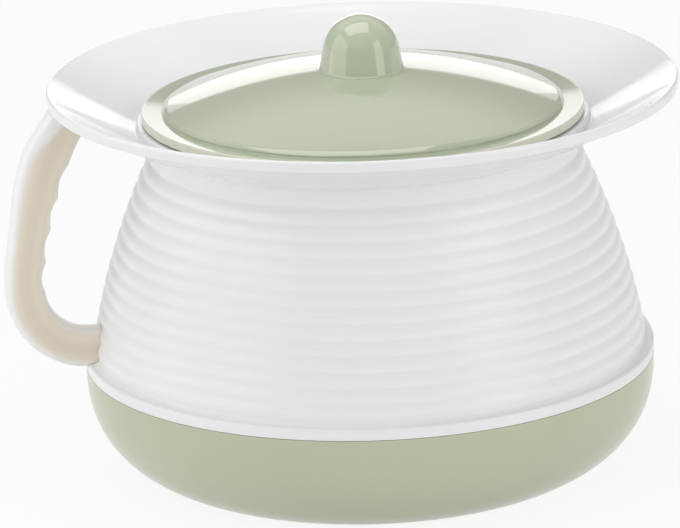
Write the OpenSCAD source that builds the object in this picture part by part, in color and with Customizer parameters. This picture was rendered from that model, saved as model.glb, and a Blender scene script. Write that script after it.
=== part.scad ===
// Lidded chamber pot: a coloured base bowl, a ribbed wall, a dished seat rim, a finger-grip handle
// and a lift-off lid with a knob. Millimetres, +Z up, origin on the floor under the pot's axis.

/* [Base bowl] */
// Outer radius at the rim of the bowl
bowl_r = 136.6; // [128:0.1:146]
// Height of the bowl's rim above the floor
bowl_h = 54; // [46:0.5:64]
// Wall thickness at the rim of the bowl
bowl_wall = 3; // [2.4:0.1:4]
// Thickness of the bowl's floor
bowl_floor = 3; // [2:0.1:5]
// Fullness of the bowl's side from rim to floor, where 2 is an ellipse and more is squarer
bowl_drop_power = 2.5; // [2:0.05:3]
// Fullness of the bowl's side from foot to rim, where 2 is an ellipse and less is flatter
bowl_reach_power = 1.6; // [1.3:0.05:2]
// Outer radius of the foot ring
foot_r = 94; // [84:0.5:104]
// Width of the foot ring
foot_w = 9; // [5:0.5:14]
// Height of the foot ring under the bowl's floor
foot_h = 2; // [1:0.1:4]

/* [Base seal] */
// Thickness of the flat seal between bowl and wall
seal_t = 0.8; // [0.6:0.1:1.5]
// How far the seal stays back from the outer face
seal_inset = 0.5; // [0.2:0.1:1]

/* [Ribbed wall] */
// Number of ribs round the wall, one above the other
rib_n = 13; // [8:1:18]
// Height of one rib
rib_pitch = 7.1; // [5:0.1:9]
// Depth of the valleys between the ribs
rib_depth = 1.1; // [0.5:0.1:1.6]
// Wall thickness under the valleys
wall_t = 2.4; // [1.8:0.1:3]
// Radius of the smooth neck above the ribs
neck_r = 103.1; // [96:0.1:109]
// Height of the smooth neck
neck_h = 10.4; // [6:0.1:14]
// How far the ribs bow out between bead and neck
wall_bow = 3.5; // [0:0.1:8]
// Height of the smooth bead at the foot of the wall
bead_h = 4.8; // [3:0.1:7]
// How far the bead stands proud of the lowest rib
bead_stand = 3.8; // [2.5:0.1:5]
// Edge radius of the bead
bead_round = 1.2; // [0.5:0.1:2]
// Height of the hollow curve between bead and ribs
cove_h = 2.8; // [1:0.1:4]
// Depth of the skirt that slips into the bowl
skirt_h = 9; // [5:0.5:14]
// Height of the tongue that the rim fits over
tongue_h = 4; // [2.5:0.1:5]
// How far the tongue is set in from the neck
tongue_in = 4.5; // [2:0.1:6]

/* [Dished rim] */
// Outer radius of the rim
rim_r = 150; // [140:0.5:165]
// Rise of the dish from the collar to its outer edge
rim_rise = 23.2; // [16:0.1:30]
// How far the dish sags below a straight cone
rim_sag = 1.4; // [0:0.1:3]
// Upright thickness of the dish
rim_t = 2.9; // [2.2:0.1:4]
// Thickness of the lip that turns down round the dish
lip_w = 2.9; // [2.8:0.1:4]
// How far the lip turns down below the dish
lip_drop = 1.6; // [1.4:0.1:5]
// Edge radius of the lip
lip_round = 1.2; // [0.5:0.1:1.4]
// Width of the collar that carries the lid
collar_w = 11.3; // [9:0.1:14]
// Height of the collar above the dish
collar_h = 4.5; // [3.5:0.1:8]
// Edge radius of the collar
collar_round = 0.8; // [0.3:0.1:1.2]

/* [Handle] */
// Height of the lower arm's middle above the bowl's rim
arm_rise = 13; // [10:0.5:18]
// How far the grip's middle line stands outside the bowl at its widest
grip_out = 28.2; // [27:0.1:36]
// Radius of the middle line in the lower corner
corner_r = 30; // [22:0.5:32]
// How far inside the rim's edge the middle line meets the dish
top_in = 12.5; // [9:0.5:18]
// Lean of the handle's top end from upright, in degrees
top_lean = 50; // [38:1:60]
// Thickness of the handle, seen from the side
grip_t = 19; // [16:0.2:24]
// Width of the handle, seen from the front
grip_w = 15; // [13:0.5:24]
// Squareness of the handle's section, where 2 is an ellipse
grip_power = 3.6; // [2.5:0.1:8]
// Number of finger hollows
finger_n = 4; // [1:1:5]
// Spacing of the finger hollows
finger_pitch = 17; // [14:0.5:20]
// Depth of the finger hollows
finger_depth = 1.5; // [0.5:0.1:3]
// Radius of the peg on the wall
arm_peg_r = 4.5; // [3:0.1:5.5]
// Length of the peg on the wall beyond the bead
arm_peg_len = 8; // [5:0.5:10]
// Radius of the peg under the rim
top_peg_r = 3.4; // [2.5:0.1:4.2]
// Length of the peg under the rim
top_peg_len = 10; // [6:0.5:12]
// How far the peg under the rim stands outside the end of the middle line
top_peg_out = 3.5; // [2:0.5:5]

/* [Lid] */
// How far the lid's edge stays inside the collar's outer face
lid_inset = 2.2; // [0.5:0.1:4]
// Height of the lid's edge
lid_edge_h = 4; // [3:0.1:6]
// Gap between the lid's edge and the collar
lid_lift_gap = 0.8; // [0.4:0.1:1.5]
// Width of the flat ring round the dome
lid_ring_w = 10; // [6:0.1:12]
// How far the ring rises towards the lid's edge
lid_ring_rise = 0.8; // [0:0.1:2]
// Height of the step from the ring up to the dome
lid_step_h = 2; // [1.2:0.1:4]
// Rise of the dome from the step to the knob
lid_dome_rise = 16.2; // [8:0.5:24]
// How far the dome bows out from a straight cone
lid_dome_bow = 1.2; // [0:0.1:3]
// Thickness of the lid
lid_t = 2.6; // [2:0.1:3.5]
// Edge radius of the lid's lip and step
lid_round = 0.7; // [0.3:0.1:1.2]
// Width of the flat foot on which the lid rests on the collar
lid_foot_w = 2.7; // [1.5:0.1:4]
// Depth of the skirt that drops into the mouth
lid_skirt_h = 9; // [5:0.5:14]
// Radial play of the skirt in the mouth
lid_play = 1; // [0.5:0.1:2]

/* [Knob] */
// Radius of the knob at its base
knob_r = 20; // [15:0.1:24]
// Radius of the knob's round top
knob_top_r = 18.4; // [13:0.1:22]
// Height of the round top's centre above the base
knob_centre_h = 7.6; // [4:0.1:12]
// Edge radius of the knob's base
knob_round = 0.6; // [0.2:0.1:1.2]
// Width of the flat seat that shows round the knob
knob_ledge = 0.5; // [0.2:0.1:2]
// Wall thickness of the hollow knob
knob_t = 2.6; // [2:0.1:3.5]
// Radius of the screw boss inside the knob
boss_r = 5.5; // [4:0.1:7]
// Radius of the screw's shank
screw_r = 2; // [1.5:0.1:2.5]
// Length of the screw under its head
screw_len = 14; // [9:0.5:18]
// Radius of the screw's head
screw_head_r = 4.2; // [3.2:0.1:5]
// Height of the screw's head
screw_head_h = 2.4; // [1.5:0.1:3]
// Chamfer round the screw's head
screw_chamfer = 0.8; // [0.3:0.1:1.2]

/* [Hidden] */
$fn = 96;
// Clearance between pieces that slip together
fit = 0.25;
// Steps in one rounded edge, along one rib, along the dish and along the bowl
edge_steps = 4;
rib_steps = 6;
dish_steps = 10;
bowl_steps = 18;
// Points round the handle's section, and steps along its arm, corner and grip
grip_sides = 20;
arm_steps = 3;
corner_steps = 8;
grip_steps = 40;
// How far a cutting tool runs past the surface it cuts
over = 2;

// Heights, from the floor upwards
floor_z = foot_h + bowl_floor;
wall_z = bowl_h + seal_t;
bead_z = wall_z + bead_h;
rib_z = bead_z + cove_h;
shoulder_z = rib_z + rib_n * rib_pitch;
neck_z = shoulder_z + neck_h;
tongue_z = neck_z + tongue_h;
rim_z = neck_z + fit;
dish_z = rim_z + rim_t;
collar_z = dish_z + collar_h;
lid_edge_z = collar_z + lid_lift_gap;
ring_z = lid_edge_z + lid_edge_h;
step_z = ring_z - lid_ring_rise + lid_step_h;
seat_z = step_z + lid_dome_rise;
arm_z = bowl_h + arm_rise;

// Radii that follow from the ones above
belly_r = bowl_r - bead_stand;
tongue_r = neck_r - tongue_in;
mouth_r = tongue_r - wall_t;
collar_r = mouth_r + collar_w;
grip_reach = bowl_r + grip_out;
top_r = rim_r - top_in;
lid_r = collar_r - lid_inset;
lid_foot_r = mouth_r + collar_round + lid_foot_w;
lid_skirt_r = mouth_r - lid_play;
dome_r = lid_r - lid_ring_w;
knob_seat_r = knob_r + knob_ledge;
lip_in = rim_r - lip_w;

// Shared curves

// A quarter turn of a rounded edge about a centre, from one angle to another
function edge(centre, r, from, to) =
    [for (i = [0 : edge_steps])
        let (a = from + (to - from) * i / edge_steps)
        centre + r * [cos(a), sin(a)]];

// Height share from 0 to 1 as a parabola that is 1 half way
function bow(u) = 4 * u * (1 - u);

// One quarter of the bowl's section, between a rim and a foot
function bowl_curve(rim, foot) =
    [for (i = [0 : bowl_steps])
        let (a = 90 * i / bowl_steps)
        let (out = pow(max(cos(a), 0), 2 / bowl_reach_power))
        let (down = pow(sin(a), 2 / bowl_drop_power))
        [foot.x + (rim.x - foot.x) * out, rim.y + (foot.y - rim.y) * down]];

function reversed(points) = [for (i = [len(points) - 1 : -1 : 0]) points[i]];

// Radius of the bowl's inside at a height
function bowl_inside(z) =
    let (down = (bowl_h - z) / (bowl_h - floor_z))
    let (side = sqrt(1 - pow(max(down, 0), bowl_drop_power)))
    foot_r + (bowl_r - bowl_wall - foot_r) * pow(side, 2 / bowl_reach_power);

// Radius over the rib crests at a height
function crest(z) =
    let (u = (z - rib_z) / (shoulder_z - rib_z))
    belly_r + (neck_r - belly_r) * u + wall_bow * bow(u);

// Height of the dish's upper face at a radius
function dish(r) =
    let (u = (r - collar_r) / (rim_r - collar_r))
    dish_z + rim_rise * u - rim_sag * bow(u);

// Height of the lip's lower edge
lip_z = dish(lip_in) - rim_t - lip_drop;

// Height of the lid's dome at a radius
function dome(r) =
    let (u = (r - knob_seat_r) / (dome_r - knob_seat_r))
    seat_z - lid_dome_rise * u + lid_dome_bow * bow(u);

// Base bowl

module base_bowl() {
    outer = bowl_curve([bowl_r, bowl_h], [foot_r, 0]);
    inner = bowl_curve([bowl_r - bowl_wall, bowl_h], [foot_r, floor_z]);
    foot = [[foot_r - foot_w, 0], [foot_r - foot_w - foot_h, foot_h], [0, foot_h], [0, floor_z]];
    color([0.62, 0.67, 0.52])
        rotate_extrude()
            polygon(concat(outer, foot, reversed(inner)));
}

// Base seal

module base_seal() {
    inner = bowl_r - bowl_wall + fit;
    color([0.45, 0.47, 0.4])
        rotate_extrude()
            translate([inner, bowl_h])
                square([bowl_r - seal_inset - inner, seal_t]);
}

// Ribbed wall

// Each rib is a half wave, so its crest is full and its valley is narrow
function ribs() =
    [for (k = [0 : rib_n - 1], i = [0 : rib_steps - 1])
        let (z = rib_z + rib_pitch * (k + i / rib_steps))
        [crest(z) - rib_depth * (1 - sin(180 * i / rib_steps)), z]];

// The neck swells out of the last valley as half a rib does
function neck() =
    [for (i = [0 : rib_steps / 2])
        let (z = shoulder_z + rib_pitch * i / rib_steps)
        [neck_r - rib_depth * (1 - sin(180 * i / rib_steps)), z]];

// The hollow curve from the bead's top in to the lowest valley
function cove() =
    let (reach = [bowl_r - bead_round - belly_r + rib_depth, cove_h])
    [for (i = [1 : edge_steps - 1])
        let (a = 90 * i / edge_steps)
        [belly_r - rib_depth + reach.x * (1 - sin(a)), rib_z - reach.y * cos(a)]];

module wall_section() {
    inner_drop = rib_depth + wall_t;
    skirt_z = wall_z - skirt_h;
    skirt_r = bowl_inside(bowl_h) - fit;
    skirt_foot_r = bowl_inside(skirt_z) - fit;
    outside = concat(
        [[skirt_foot_r, skirt_z], [skirt_r, wall_z], [bowl_r, wall_z]],
        edge([bowl_r - bead_round, bead_z - bead_round], bead_round, 0, 90),
        cove(),
        ribs(),
        neck(),
        [[neck_r, neck_z], [tongue_r, neck_z], [tongue_r, tongue_z]]
    );
    inside = concat(
        [[mouth_r, tongue_z], [mouth_r, neck_z - wall_t]],
        [for (i = [dish_steps : -1 : 0])
            let (z = rib_z + (shoulder_z - rib_z) * i / dish_steps)
            [crest(z) - inner_drop, z]],
        [[skirt_r - wall_t, wall_z], [skirt_foot_r - wall_t, skirt_z]]
    );
    polygon(concat(outside, inside));
}

// A peg on the -X side takes the handle's lower arm
module arm_peg(r, from, to) {
    translate([-to, 0, arm_z])
        rotate([0, 90, 0])
            cylinder(r = r, h = to - from);
}

module ribbed_wall() {
    root = crest(arm_z) - rib_depth - wall_t / 2;
    color([0.93, 0.93, 0.93])
    union() {
        rotate_extrude() wall_section();
        arm_peg(arm_peg_r, root, bowl_r + arm_peg_len);
    }
}

// Dished rim

// Points along the dish from the collar to a radius, a given drop below its upper face
function dish_line(last, drop) =
    [for (i = [0 : dish_steps])
        let (r = collar_r + (last - collar_r) * i / dish_steps)
        [r, dish(r) - drop]];

module rim_section() {
    lip_out = rim_r - lip_round;
    lip_back = lip_in + lip_round;
    lip_low = lip_z + lip_round;
    collar_edge = edge([collar_r - collar_round, collar_z - collar_round], collar_round, 90, 0);
    mouth_edge = edge([mouth_r + collar_round, collar_z - collar_round], collar_round, 180, 90);
    lip_edge = concat(
        edge([lip_out, dish(lip_out) - lip_round], lip_round, 90, 0),
        edge([lip_out, lip_low], lip_round, 0, -90),
        edge([lip_back, lip_low], lip_round, -90, -180)
    );
    polygon(concat(
        [[tongue_r + fit, rim_z], [tongue_r + fit, tongue_z], [mouth_r, tongue_z]],
        mouth_edge,
        collar_edge,
        dish_line(lip_out, 0),
        [for (i = [1 : len(lip_edge) - 1]) lip_edge[i]],
        reversed(dish_line(lip_in, rim_t))
    ));
}

// The space above a surface that lies a given drop below the dish's upper face
module above_dish(drop) {
    ceiling = collar_z + rim_rise;
    rotate_extrude()
        polygon(concat(dish_line(rim_r, drop), [[rim_r, ceiling], [collar_r, ceiling]]));
}

// A peg under the dish takes the handle's top end
module top_peg(r, drop) {
    x = top_r + top_peg_out;
    low = dish(x) - rim_t - drop;
    translate([-x, 0, low])
        cylinder(r = r, h = dish(rim_r) - low);
}

module dished_rim() {
    color([0.96, 0.96, 0.96])
    union() {
        rotate_extrude() rim_section();
        difference() {
            top_peg(top_peg_r, top_peg_len);
            above_dish(rim_t / 2);
        }
    }
}

// Handle

// Middle line from the wall, round the lower corner and up the grip to the rim, as radius and height
function arm_line() =
    let (start = crest(arm_z) - wall_t)
    [for (i = [0 : arm_steps - 1])
        [start + (grip_reach - corner_r - start) * i / arm_steps, arm_z]];

function corner_line() =
    [for (i = [0 : corner_steps - 1])
        let (a = -90 + 90 * i / corner_steps)
        [grip_reach - corner_r + corner_r * cos(a), arm_z + corner_r + corner_r * sin(a)]];

// The grip is one cubic curve that leaves the corner upright and leans in towards the rim
function grip_line() =
    let (a = [grip_reach, arm_z + corner_r])
    let (d = [top_r, dish(top_r)])
    let (lean = [-sin(top_lean), cos(top_lean)])
    let (b = a + [0, (d.y - a.y) / 3])
    let (c = d - lean * (d.y - a.y) / 6)
    [for (i = [0 : grip_steps])
        let (t = i / grip_steps)
        let (s = 1 - t)
        a * s * s * s + 3 * b * s * s * t + 3 * c * s * t * t + d * t * t * t];

handle_line = concat(arm_line(), corner_line(), grip_line());
handle_last = len(handle_line) - 1;
grip_first = arm_steps + corner_steps;

function unit(v) = v / norm(v);

function heading(i) =
    unit(handle_line[min(i + 1, handle_last)] - handle_line[max(i - 1, 0)]);

// Length of the grip from its lower end to point i
function grip_length(i) =
    i <= grip_first ? 0 : grip_length(i - 1) + norm(handle_line[i] - handle_line[i - 1]);

function finger(i) =
    let (s = grip_length(i) / finger_pitch)
    s > finger_n ? 0 : finger_depth * abs(sin(180 * s));

function signed_power(v, e) = sign(v) * pow(abs(v), e);

// One ring of the handle: a squarish oval whose inner side gives way at the fingers
function handle_ring(i) =
    let (at = handle_line[i])
    let (along = heading(i))
    let (out = [along.y, -along.x])
    [for (k = [0 : grip_sides - 1])
        let (a = 360 * (k + 0.5) / grip_sides)
        let (u = signed_power(cos(a), 2 / grip_power))
        let (v = signed_power(sin(a), 2 / grip_power))
        let (half = grip_t / 2 - (u < 0 ? finger(i) : 0))
        let (p = at + out * u * half)
        [-p.x, v * grip_w / 2, p.y]];

module handle_sweep() {
    points = [for (i = [0 : handle_last]) each handle_ring(i)];
    sides = [for (i = [0 : handle_last - 1], k = [0 : grip_sides - 1])
        let (a = i * grip_sides + k)
        let (b = i * grip_sides + (k + 1) % grip_sides)
        each [[a, b + grip_sides, a + grip_sides], [a, b, b + grip_sides]]];
    first_cap = [for (k = [grip_sides - 1 : -1 : 0]) k];
    last_cap = [for (k = [0 : grip_sides - 1]) handle_last * grip_sides + k];
    polyhedron(points, concat(sides, [first_cap, last_cap]));
}

// The space that the pot's own wall takes up, with a little clearance
module wall_envelope() {
    top = arm_z + grip_t;
    side = [for (i = [0 : dish_steps])
        let (z = rib_z + fit + (top - rib_z - fit) * i / dish_steps)
        [crest(z) + fit, z]];
    rotate_extrude()
        polygon(concat(
            [[0, 0], [bowl_r + fit, 0], [bowl_r + fit, bead_z + fit]],
            side,
            [[0, top]]
        ));
}

// The space that the rim and its lip take up, with a little clearance
module rim_envelope() {
    ceiling = collar_z + rim_rise + grip_t;
    past = rim_r + grip_t;
    inner = lip_in - fit;
    rotate_extrude()
        polygon(concat(
            dish_line(inner, rim_t + fit),
            [[inner, lip_z - fit], [past, lip_z - fit], [past, ceiling], [collar_r, ceiling]]
        ));
}

module handle() {
    color([0.9, 0.86, 0.77])
    difference() {
        handle_sweep();
        wall_envelope();
        rim_envelope();
        arm_peg(arm_peg_r + fit, mouth_r, bowl_r + arm_peg_len + fit);
        top_peg(top_peg_r + fit, top_peg_len + fit);
    }
}

// Lid

module lid_section() {
    ring_in = ring_z - lid_ring_rise;
    lip_in = lid_r - lid_t;
    dome_last = dome_r - lid_round;
    dome_top = [for (i = [0 : dish_steps])
        let (r = knob_seat_r + (dome_last - knob_seat_r) * i / dish_steps)
        [r, dome(r)]];
    step_edge = edge([dome_last, step_z - lid_round], lid_round, 90, 0);
    lip_edge = edge([lid_r - lid_round, ring_z - lid_round], lid_round, 90, 0);
    under_last = lid_skirt_r - lid_t;
    dome_under = [for (i = [dish_steps : -1 : 0])
        let (r = knob_seat_r + (under_last - knob_seat_r) * i / dish_steps)
        [r, dome(r) - lid_t]];
    polygon(concat(
        [[0, seat_z]],
        dome_top,
        [for (i = [1 : edge_steps]) step_edge[i]],
        [[dome_r, ring_in]],
        lip_edge,
        [[lid_r, lid_edge_z], [lip_in, lid_edge_z], [lip_in, ring_in - lid_t]],
        [[lid_foot_r, ring_in - lid_t], [lid_foot_r, collar_z], [lid_skirt_r, collar_z]],
        [[lid_skirt_r, collar_z - lid_skirt_h]],
        [[under_last, collar_z - lid_skirt_h]],
        dome_under,
        [[0, seat_z - lid_t]]
    ));
}

module lid() {
    color([0.68, 0.73, 0.58])
    difference() {
        rotate_extrude() lid_section();
        translate([0, 0, seat_z - lid_t - over])
            cylinder(r = screw_r + fit, h = lid_t + 2 * over);
    }
}

// Knob

function knob_arc(r, from) =
    [for (i = [0 : dish_steps])
        let (a = from + (90 - from) * i / dish_steps)
        [r * cos(a), seat_z + knob_centre_h + r * sin(a)]];

module knob() {
    taper = atan((knob_r - knob_top_r) / knob_centre_h);
    inner_r = knob_top_r - knob_t;
    boss_meets = acos(boss_r / inner_r);
    pilot_r = screw_r + fit / 2;
    pilot_z = seat_z - lid_t + screw_len + fit;
    base_edge = edge([knob_r - knob_round, seat_z + knob_round], knob_round, -90, 0);
    hollow = [for (i = [0 : dish_steps])
        let (a = boss_meets * (1 - i / dish_steps))
        [inner_r * cos(a), seat_z + knob_centre_h + inner_r * sin(a)]];
    color([0.62, 0.67, 0.52])
        rotate_extrude()
            polygon(concat(
                [[0, pilot_z], [pilot_r, pilot_z], [pilot_r, seat_z], [boss_r, seat_z]],
                hollow,
                [[knob_r - knob_t, seat_z]],
                base_edge,
                knob_arc(knob_top_r, taper)
            ));
}

// Knob screw

module knob_screw() {
    head_z = seat_z - lid_t;
    head_low_z = head_z - screw_head_h;
    color([0.75, 0.76, 0.78])
        rotate_extrude()
            polygon([
                [0, head_low_z],
                [screw_head_r - screw_chamfer, head_low_z],
                [screw_head_r, head_low_z + screw_chamfer],
                [screw_head_r, head_z],
                [screw_r, head_z],
                [screw_r, head_z + screw_len - screw_r],
                [0, head_z + screw_len]
            ]);
}

base_bowl();
base_seal();
ribbed_wall();
dished_rim();
handle();
lid();
knob();
knob_screw();
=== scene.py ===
# %% [markdown]
# # A lidded pot in moulded plastic
#
# This lesson dresses a lidded pot: a green base bowl, a white ribbed wall, a wide white rim, an ivory
# handle and a green lid with a knob. The solids of the part are loaded as a fixed frame, and every
# piece is remade here as a smooth mesh in the same place, because gloss shows each facet of a coarse one.

# %% Load the frame
import math

import bmesh
import bpy
from mathutils import Matrix, Quaternion, Vector


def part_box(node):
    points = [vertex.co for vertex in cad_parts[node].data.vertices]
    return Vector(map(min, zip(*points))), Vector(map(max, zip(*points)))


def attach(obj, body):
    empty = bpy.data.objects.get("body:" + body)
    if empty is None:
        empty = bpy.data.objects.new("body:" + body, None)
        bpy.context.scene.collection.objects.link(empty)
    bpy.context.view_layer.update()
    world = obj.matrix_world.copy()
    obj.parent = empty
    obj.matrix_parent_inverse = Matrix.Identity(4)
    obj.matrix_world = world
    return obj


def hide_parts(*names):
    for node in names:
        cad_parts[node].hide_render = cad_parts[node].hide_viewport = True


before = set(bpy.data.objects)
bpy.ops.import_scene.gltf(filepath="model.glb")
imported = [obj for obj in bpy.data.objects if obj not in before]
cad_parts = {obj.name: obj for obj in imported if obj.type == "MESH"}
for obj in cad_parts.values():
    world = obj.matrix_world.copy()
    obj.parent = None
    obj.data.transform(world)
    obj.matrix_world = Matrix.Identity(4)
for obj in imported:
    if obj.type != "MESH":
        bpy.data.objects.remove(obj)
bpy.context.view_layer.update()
MM = 0.001
print("nodes", sorted(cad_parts))

# %% [markdown]
# ## The camera
#
# The picture was taken from far away with a long lens, a little above the rim, and the camera leans by
# a couple of degrees. A long lens keeps the ellipses of the rim and the lid nearly parallel. The camera
# stands a few degrees round towards the handle, and it is aimed a little below and beside the pot, so
# that no lens shift is needed. The lamps are set up from the camera's side, so they turn with it.

# %% Camera
FRAME_WIDTH = 680
FOCAL_PIXELS = 5363
SENSOR = 36
CAMERA_DISTANCE = 2566 * MM
CAMERA_TURN = math.radians(8)
CAMERA_RISE = math.radians(16.33)
CAMERA_ROLL = math.radians(-1.81)
LOOKED_AT = Vector((0, 0, 114 * MM))
AIM_ASIDE = -12.6 * MM
AIM_BELOW = -15.6 * MM

studio = Matrix.Rotation(-CAMERA_TURN, 3, "Z")
sight = studio @ Vector((0, math.cos(CAMERA_RISE), -math.sin(CAMERA_RISE)))
camera_data = bpy.data.cameras.new("camera")
camera_data.sensor_width = SENSOR
camera_data.lens = FOCAL_PIXELS * SENSOR / FRAME_WIDTH
camera = bpy.data.objects.new("camera", camera_data)
bpy.context.scene.collection.objects.link(camera)
bpy.context.scene.camera = camera

camera.location = LOOKED_AT - sight * CAMERA_DISTANCE
level = sight.to_track_quat("-Z", "Y") @ Quaternion((0, 0, 1), CAMERA_ROLL)
aim = LOOKED_AT + level @ Vector((AIM_ASIDE, AIM_BELOW, 0))
aimed = (aim - camera.location).to_track_quat("-Z", "Y")
camera.rotation_mode = "QUATERNION"
camera.rotation_quaternion = aimed @ Quaternion((0, 0, 1), CAMERA_ROLL)
print("lens", round(camera_data.lens, 1), "mm")

# %% [markdown]
# ## Node maths that reads like maths
#
# Materials and geometry trees are both made of nodes. One small class wraps a socket, so that `1 - mask`
# adds the node that it stands for, and one method adds any other node: first its settings, then the
# values or links of its sockets. The same class serves both kinds of tree.


# %% Signals
class Signal:
    """One socket of a node tree, or only the tree itself where a chain of nodes starts."""

    def __init__(self, tree, socket=None):
        self.tree = tree
        self.socket = socket

    def add(self, kind, settings=None, inputs=None, output=0):
        node = self.tree.nodes.new(kind)
        for name, value in (settings or {}).items():
            setattr(node, name, value)
        for name, value in (inputs or {}).items():
            self.feed(node.inputs[name], value)
        return Signal(self.tree, node.outputs[output])

    def feed(self, socket, value):
        if isinstance(value, Signal):
            self.tree.links.new(value.socket, socket)
        elif socket.type == "RGBA" and len(value) == 3:
            socket.default_value = (*value, 1)
        else:
            socket.default_value = value

    def math(self, operation, first, second=0.0):
        return self.add("ShaderNodeMath", {"operation": operation}, {0: first, 1: second})

    def __add__(self, other):
        return self.math("ADD", self, other)

    def __radd__(self, other):
        return self.math("ADD", other, self)

    def __sub__(self, other):
        return self.math("SUBTRACT", self, other)

    def __rsub__(self, other):
        return self.math("SUBTRACT", other, self)

    def __mul__(self, other):
        return self.math("MULTIPLY", self, other)

    def __rmul__(self, other):
        return self.math("MULTIPLY", other, self)

    def __truediv__(self, other):
        return self.math("DIVIDE", self, other)

    def __rtruediv__(self, other):
        return self.math("DIVIDE", other, self)

    def __abs__(self):
        return self.math("ABSOLUTE", self)

    def power(self, exponent):
        return self.math("POWER", self, exponent)

    def step(self, low, high):
        """0 at low and 1 at high, with a smooth change between them."""
        settings = {"interpolation_type": "SMOOTHSTEP"}
        return self.add("ShaderNodeMapRange", settings, {"Value": self, "From Min": low, "From Max": high})

    def blend(self, first, second):
        """The first colour where this signal is 0, and the second where it is 1."""
        return self.add("ShaderNodeMix", {"data_type": "RGBA"}, {0: self, 6: first, 7: second}, output=2)

    def axes(self):
        """The three parts of a vector signal."""
        node = self.add("ShaderNodeSeparateXYZ", inputs={0: self}).socket.node
        return [Signal(self.tree, socket) for socket in node.outputs]


print("signals ready")

# %% [markdown]
# ## Turning a section
#
# Nearly every piece is round, so it is a section turned about the upright axis, as on a lathe. A section
# is a list of corners, each with the radius of its edge, because no moulded edge is truly sharp. Many
# corners share the same few radii, from crisp to broad. The mesh closes on itself, either as a ring or
# with a single point on the axis.

# %% Sections and turned meshes
TURN_STEPS = 240
EDGE_STEPS = 5
SIDE_SHARE = 0.45
AXIS = 1e-7
CRISP = 0.15 * MM
FINE = 0.3 * MM
EASED = 0.4 * MM
SOFT = 0.5 * MM
BROAD = 1 * MM


def rounded(corners):
    """The points of a section. Each corner is a radius, a height and the radius of its edge.

    An edge takes no more than its share of a side, so it gets smaller where a side is short.
    """
    points = []
    for i, (r, z, edge) in enumerate(corners):
        here = Vector((r, z))
        if not edge:
            points.append(here)
            continue
        before = Vector(corners[i - 1][:2]) - here
        after = Vector(corners[(i + 1) % len(corners)][:2]) - here
        half = before.angle(after) / 2
        reach = min(edge / math.tan(half), SIDE_SHARE * before.length, SIDE_SHARE * after.length)
        centre = here + (before.normalized() + after.normalized()).normalized() * reach / math.cos(half)
        first = here + before.normalized() * reach - centre
        last = here + after.normalized() * reach - centre
        turn = first.angle(last)
        for k in range(EDGE_STEPS + 1):
            t = k / EDGE_STEPS
            share = first * math.sin((1 - t) * turn) + last * math.sin(t * turn)
            points.append(centre + share / math.sin(turn))
    return points


def turned(name, section, steps=TURN_STEPS, mark=None):
    """A closed mesh turned about the Z axis. Mark gives a value to each point of the section."""
    verts = []
    rings = []
    marks = []
    for i, (r, z) in enumerate(section):
        count = 1 if r < AXIS else steps
        rings.append(range(len(verts), len(verts) + count))
        for k in range(count):
            a = 2 * math.pi * k / steps
            verts.append((r * math.cos(a), r * math.sin(a), z))
        marks += [mark[i] if mark else 0.0] * count
    faces = []
    for i, ring in enumerate(rings):
        above = rings[(i + 1) % len(rings)]
        for k in range(steps if len(ring) > 1 or len(above) > 1 else 0):
            quad = [ring[k % len(ring)], ring[(k + 1) % len(ring)]]
            quad += [above[(k + 1) % len(above)], above[k % len(above)]]
            faces.append(list(dict.fromkeys(quad)))
    mesh = bpy.data.meshes.new(name)
    mesh.from_pydata(verts, [], faces)
    if mark:
        attribute = mesh.attributes.new("mark", "FLOAT", "POINT")
        attribute.data.foreach_set("value", marks)
    return placed(name, mesh)


def placed(name, mesh):
    """An object for a mesh, with smooth faces that point outwards."""
    shape = bmesh.new()
    shape.from_mesh(mesh)
    bmesh.ops.recalc_face_normals(shape, faces=shape.faces)
    shape.to_mesh(mesh)
    shape.free()
    mesh.shade_smooth()
    obj = bpy.data.objects.new(name, mesh)
    bpy.context.scene.collection.objects.link(obj)
    return obj


def baked_down(obj):
    """Turns an object's live modifiers into plain mesh and removes them."""
    graph = bpy.context.evaluated_depsgraph_get()
    mesh = bpy.data.meshes.new_from_object(obj.evaluated_get(graph), depsgraph=graph)
    mesh.name = obj.name
    obj.modifiers.clear()
    obj.data = mesh
    return obj


def even_normals(obj, sharp=None):
    """Lets broad faces lead the shading, so that a small rounded edge doesn't tint the face beside it."""
    if sharp:
        obj.data.set_sharp_from_angle(angle=sharp)
    weighted = obj.modifiers.new("even normals", "WEIGHTED_NORMAL")
    weighted.keep_sharp = True
    return baked_down(obj)


print("turning ready,", TURN_STEPS, "steps round")

# %% [markdown]
# ## Patterns on plastic
#
# Moulded plastic is never one flat colour. The pigment clouds a little as the melt flows, grains of it
# show close by, the mould leaves a faint orange-peel skin, and use leaves hairlines and scuffs along the
# edges. Every pattern reads the object's own coordinates, so it stays put on the piece.

# %% Plastic patterns
CLOUD_SCALE = 16
CLOUD_EDGES = (0.3, 0.7)
GRAIN_SCALE = 2400
GRAIN_SHARE = 0.3
HAIRLINE_ROUGH = 0.02
SMEAR_ROUGH = 0.03

# For each direction of the hairlines: the scales of the noise, its turn, and where a line starts.
HAIRLINES = [
    ((900, 22, 22), (0.3, 0.2, 0.7), (0.66, 0.72)),
    ((22, 1100, 30), (0.1, 0.5, 0.3), (0.67, 0.73)),
]


def new_finish(name):
    """A new material: the material itself, its shader, the start of its node chain and its coordinates."""
    finish = bpy.data.materials.new(name)
    finish.use_nodes = True
    shader = finish.node_tree.nodes["Principled BSDF"]
    start = Signal(finish.node_tree)
    coordinates = start.add("ShaderNodeTexCoord", output="Object")
    return finish, shader, start, coordinates


def noise(coordinates, scale, detail):
    """A smooth random pattern with this many waves to the metre."""
    inputs = {"Vector": coordinates, "Scale": scale, "Detail": detail}
    return coordinates.add("ShaderNodeTexNoise", inputs=inputs)


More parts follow.
